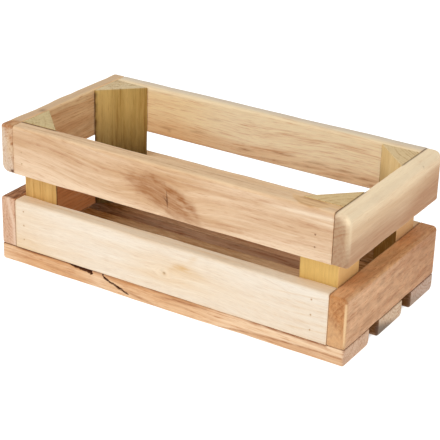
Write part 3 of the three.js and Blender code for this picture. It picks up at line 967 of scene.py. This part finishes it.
lay_slat("base_front_slat", base_turn, seed=21, edge=(4.5, 0.8, 0.8, 1.6),
         look=dict(sap=(231, 199, 163), heart=(203, 149, 97), end=(216, 181, 152), pith=(40, 70),
                   ring=3.6, ring_depth=0.25, band_depth=0.5, streak=(55, 1.5), streak_depth=0.45,
                   light_depth=0.25, dash_depth=0.55, stain_and_shade=(152, 96, 56)),
         tip=(2.0, 0.8, 2.0, 2.6), heart=front_base_heart, stain_and_shade=front_base_stain, gold=front_base_gold,
         rub_and_sheen=lambda points: soft_spots(points, [(0.2, (-79, 9, 53), (13, 9, 6))]),
         grime_and_shade=front_base_dirt_and_shade, carve=carve_front_base, near=np.arange(-114, -38, 5.0),
         face_steps=(10, 34, 34))
lay_slat("base_middle_slat", base_turn, seed=22, edge=(4.5, 0.8, 0.8, 2.5),
         look=dict(sap=(232, 200, 166), heart=(196, 162, 124), end=(222, 196, 166), pith=(40, 10),
                   stain_and_shade=(144, 100, 48), streak_depth=0.7, dash_depth=0.5, pale=(108, 93, 80),
                   end_rings=0.2),
         tip=(2.0, 0.8, 2.0, 2.6), heart=lambda points: 0.4,
         stain_and_shade=lambda points: base_inside_shade(points, [0, middle_width]), gold=base_top_gold,
         rub_and_sheen=lambda points: 0.95 * grey_corner(points),
         grime_and_shade=lambda points: gap_shade(points, [0, middle_width]), carve=flat_foot)
lay_slat("base_rear_slat", base_turn, seed=23, edge=(4.5, 0.8, 0.8, 2.5),
         look=dict(sap=(222, 186, 158), heart=(190, 146, 116), end=(200, 173, 153), pith=(40, 10),
                   stain_and_shade=(128, 86, 32), streak_depth=0.7, dash_depth=0.5, pale=(138, 122, 106),
                   end_rings=0.2),
         tip=(2.0, 0.8, 2.0, 2.6), heart=rear_base_heart,
         stain_and_shade=lambda points: base_inside_shade(points, [base_width]), gold=base_top_gold,
         rub_and_sheen=lambda points: 0.45 * grey_corner(points),
         grime_and_shade=lambda points: gap_shade(points, [base_width]), carve=flat_foot)

# Nails: wire brads with small flat heads, driven in just below the face of the wood and dulled to a
# dark grey brown, paler at the left end and in the pale lower front slat.
nail_tones = {
    "pale": ((172, 144, 110), (206, 172, 134)),
    "dark": ((136, 106, 78), (176, 136, 100)),
}
for look, (dark, light) in nail_tones.items():
    nail_steel = bpy.data.materials.new(f"{look}_nail_steel")
    nail_steel.use_nodes = True
    tree = nail_steel.node_tree
    place = put(tree, "ShaderNodeTexCoord", {})["Object"]
    blotch = put(tree, "ShaderNodeTexNoise", {"Vector": place, "Scale": 1400.0, "Detail": 2.0})[0]
    rust = put(tree, "ShaderNodeMixRGB", {0: blotch, 1: tone(*dark), 2: tone(*light)})[0]
    rough = put(tree, "ShaderNodeMath", {0: blotch, 1: 0.3, 2: 0.35}, operation="MULTIPLY_ADD")[0]
    finish = tree.nodes["Principled BSDF"]
    finish.inputs["Metallic"].default_value = 0.5
    tree.links.new(rust, finish.inputs["Base Color"])
    tree.links.new(rough, finish.inputs["Roughness"])
    for name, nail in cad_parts.items():
        in_pale_wood = "left" in name or "lower_front" in name
        if name.startswith("nail_") and in_pale_wood == (look == "pale"):
            nail.data.materials.clear()
            nail.data.materials.append(nail_steel)

# Floor, light and camera: a white table that glows all round the crate but not under it, and a large
# soft lamp to the front left. The camera stands to the front right, above the rim.
floor_reach = 30.0
shaded_half = (0.19, 0.086, 0)
shade_rim = 0.008
floor_mesh = bpy.data.meshes.new("floor")
floor_mesh.from_pydata([(-floor_reach, -floor_reach, 0), (floor_reach, -floor_reach, 0),
                        (floor_reach, floor_reach, 0), (-floor_reach, floor_reach, 0)],
                       [], [(0, 1, 2, 3)])
floor = bpy.data.objects.new("floor", floor_mesh)
bpy.context.scene.collection.objects.link(floor)
floor_white = bpy.data.materials.new("floor_white")
floor_white.use_nodes = True
tree = floor_white.node_tree
place = put(tree, "ShaderNodeTexCoord", {})["Object"]
aside = put(tree, "ShaderNodeVectorMath", {0: place}, operation="ABSOLUTE")[0]
beyond = put(tree, "ShaderNodeVectorMath", {0: aside, 1: shaded_half}, operation="SUBTRACT")[0]
beyond = put(tree, "ShaderNodeVectorMath", {0: beyond, 1: (0, 0, 0)}, operation="MAXIMUM")[0]
away = put(tree, "ShaderNodeVectorMath", {0: beyond}, operation="LENGTH")["Value"]
glow = put(tree, "ShaderNodeMapRange", {0: away, 1: 0.0, 2: shade_rim, 3: 0.05, 4: 0.98})[0]
white = put(tree, "ShaderNodeMapRange", {0: away, 1: 0.0, 2: shade_rim, 3: 0.6, 4: 0.3})[0]
finish = tree.nodes["Principled BSDF"]
tree.links.new(white, finish.inputs["Base Color"])
finish.inputs["Roughness"].default_value = 0.9
finish.inputs["Emission Color"].default_value = (1, 1, 1, 1)
tree.links.new(glow, finish.inputs["Emission Strength"])
floor_mesh.materials.append(floor_white)

world = bpy.data.worlds.new("studio")
bpy.context.scene.world = world
world.use_nodes = True
world.node_tree.nodes["Background"].inputs["Color"].default_value = (1, 1, 1, 1)
world.node_tree.nodes["Background"].inputs["Strength"].default_value = 0.64


def facing(right, back):
    """The turn that lays an object's own X along `right` and its own Z along `back`."""
    return Matrix(np.stack([right, np.cross(back, right), back], 1).tolist()).to_euler()


lamp = bpy.data.lights.new("soft_key", "AREA")
lamp.shape = "DISK"
lamp.size = 1.8
lamp.energy = 27.0
key = bpy.data.objects.new("soft_key", lamp)
bpy.context.scene.collection.objects.link(key)
key_from = np.array([-0.85, -1.7, 1.75])
key_back = key_from / np.linalg.norm(key_from)
key_right = np.cross([0, 0, 1], key_back)
key_right /= np.linalg.norm(key_right)
key.location = key_from
key.rotation_euler = facing(key_right, key_back)

camera_azimuth = np.radians(31.506)
camera_elevation = np.radians(24.379)
camera_roll = np.radians(1.668)
camera_distance = 1.452
camera_target = np.array([0.00573, -0.0013, 0.06255])
lens = bpy.data.cameras.new("camera")
lens.sensor_width = 36.0
lens.lens = 116.05
camera = bpy.data.objects.new("camera", lens)
bpy.context.scene.collection.objects.link(camera)
back = np.array([np.sin(camera_azimuth) * np.cos(camera_elevation),
                 -np.cos(camera_azimuth) * np.cos(camera_elevation), np.sin(camera_elevation)])
level = np.array([np.cos(camera_azimuth), np.sin(camera_azimuth), 0])
upright = np.cross(back, level)
right = np.cos(camera_roll) * level + np.sin(camera_roll) * upright
camera.location = camera_target + back * camera_distance
camera.rotation_euler = facing(right, back)
bpy.context.scene.camera = camera
bpy.context.scene.view_settings.view_transform = "Standard"
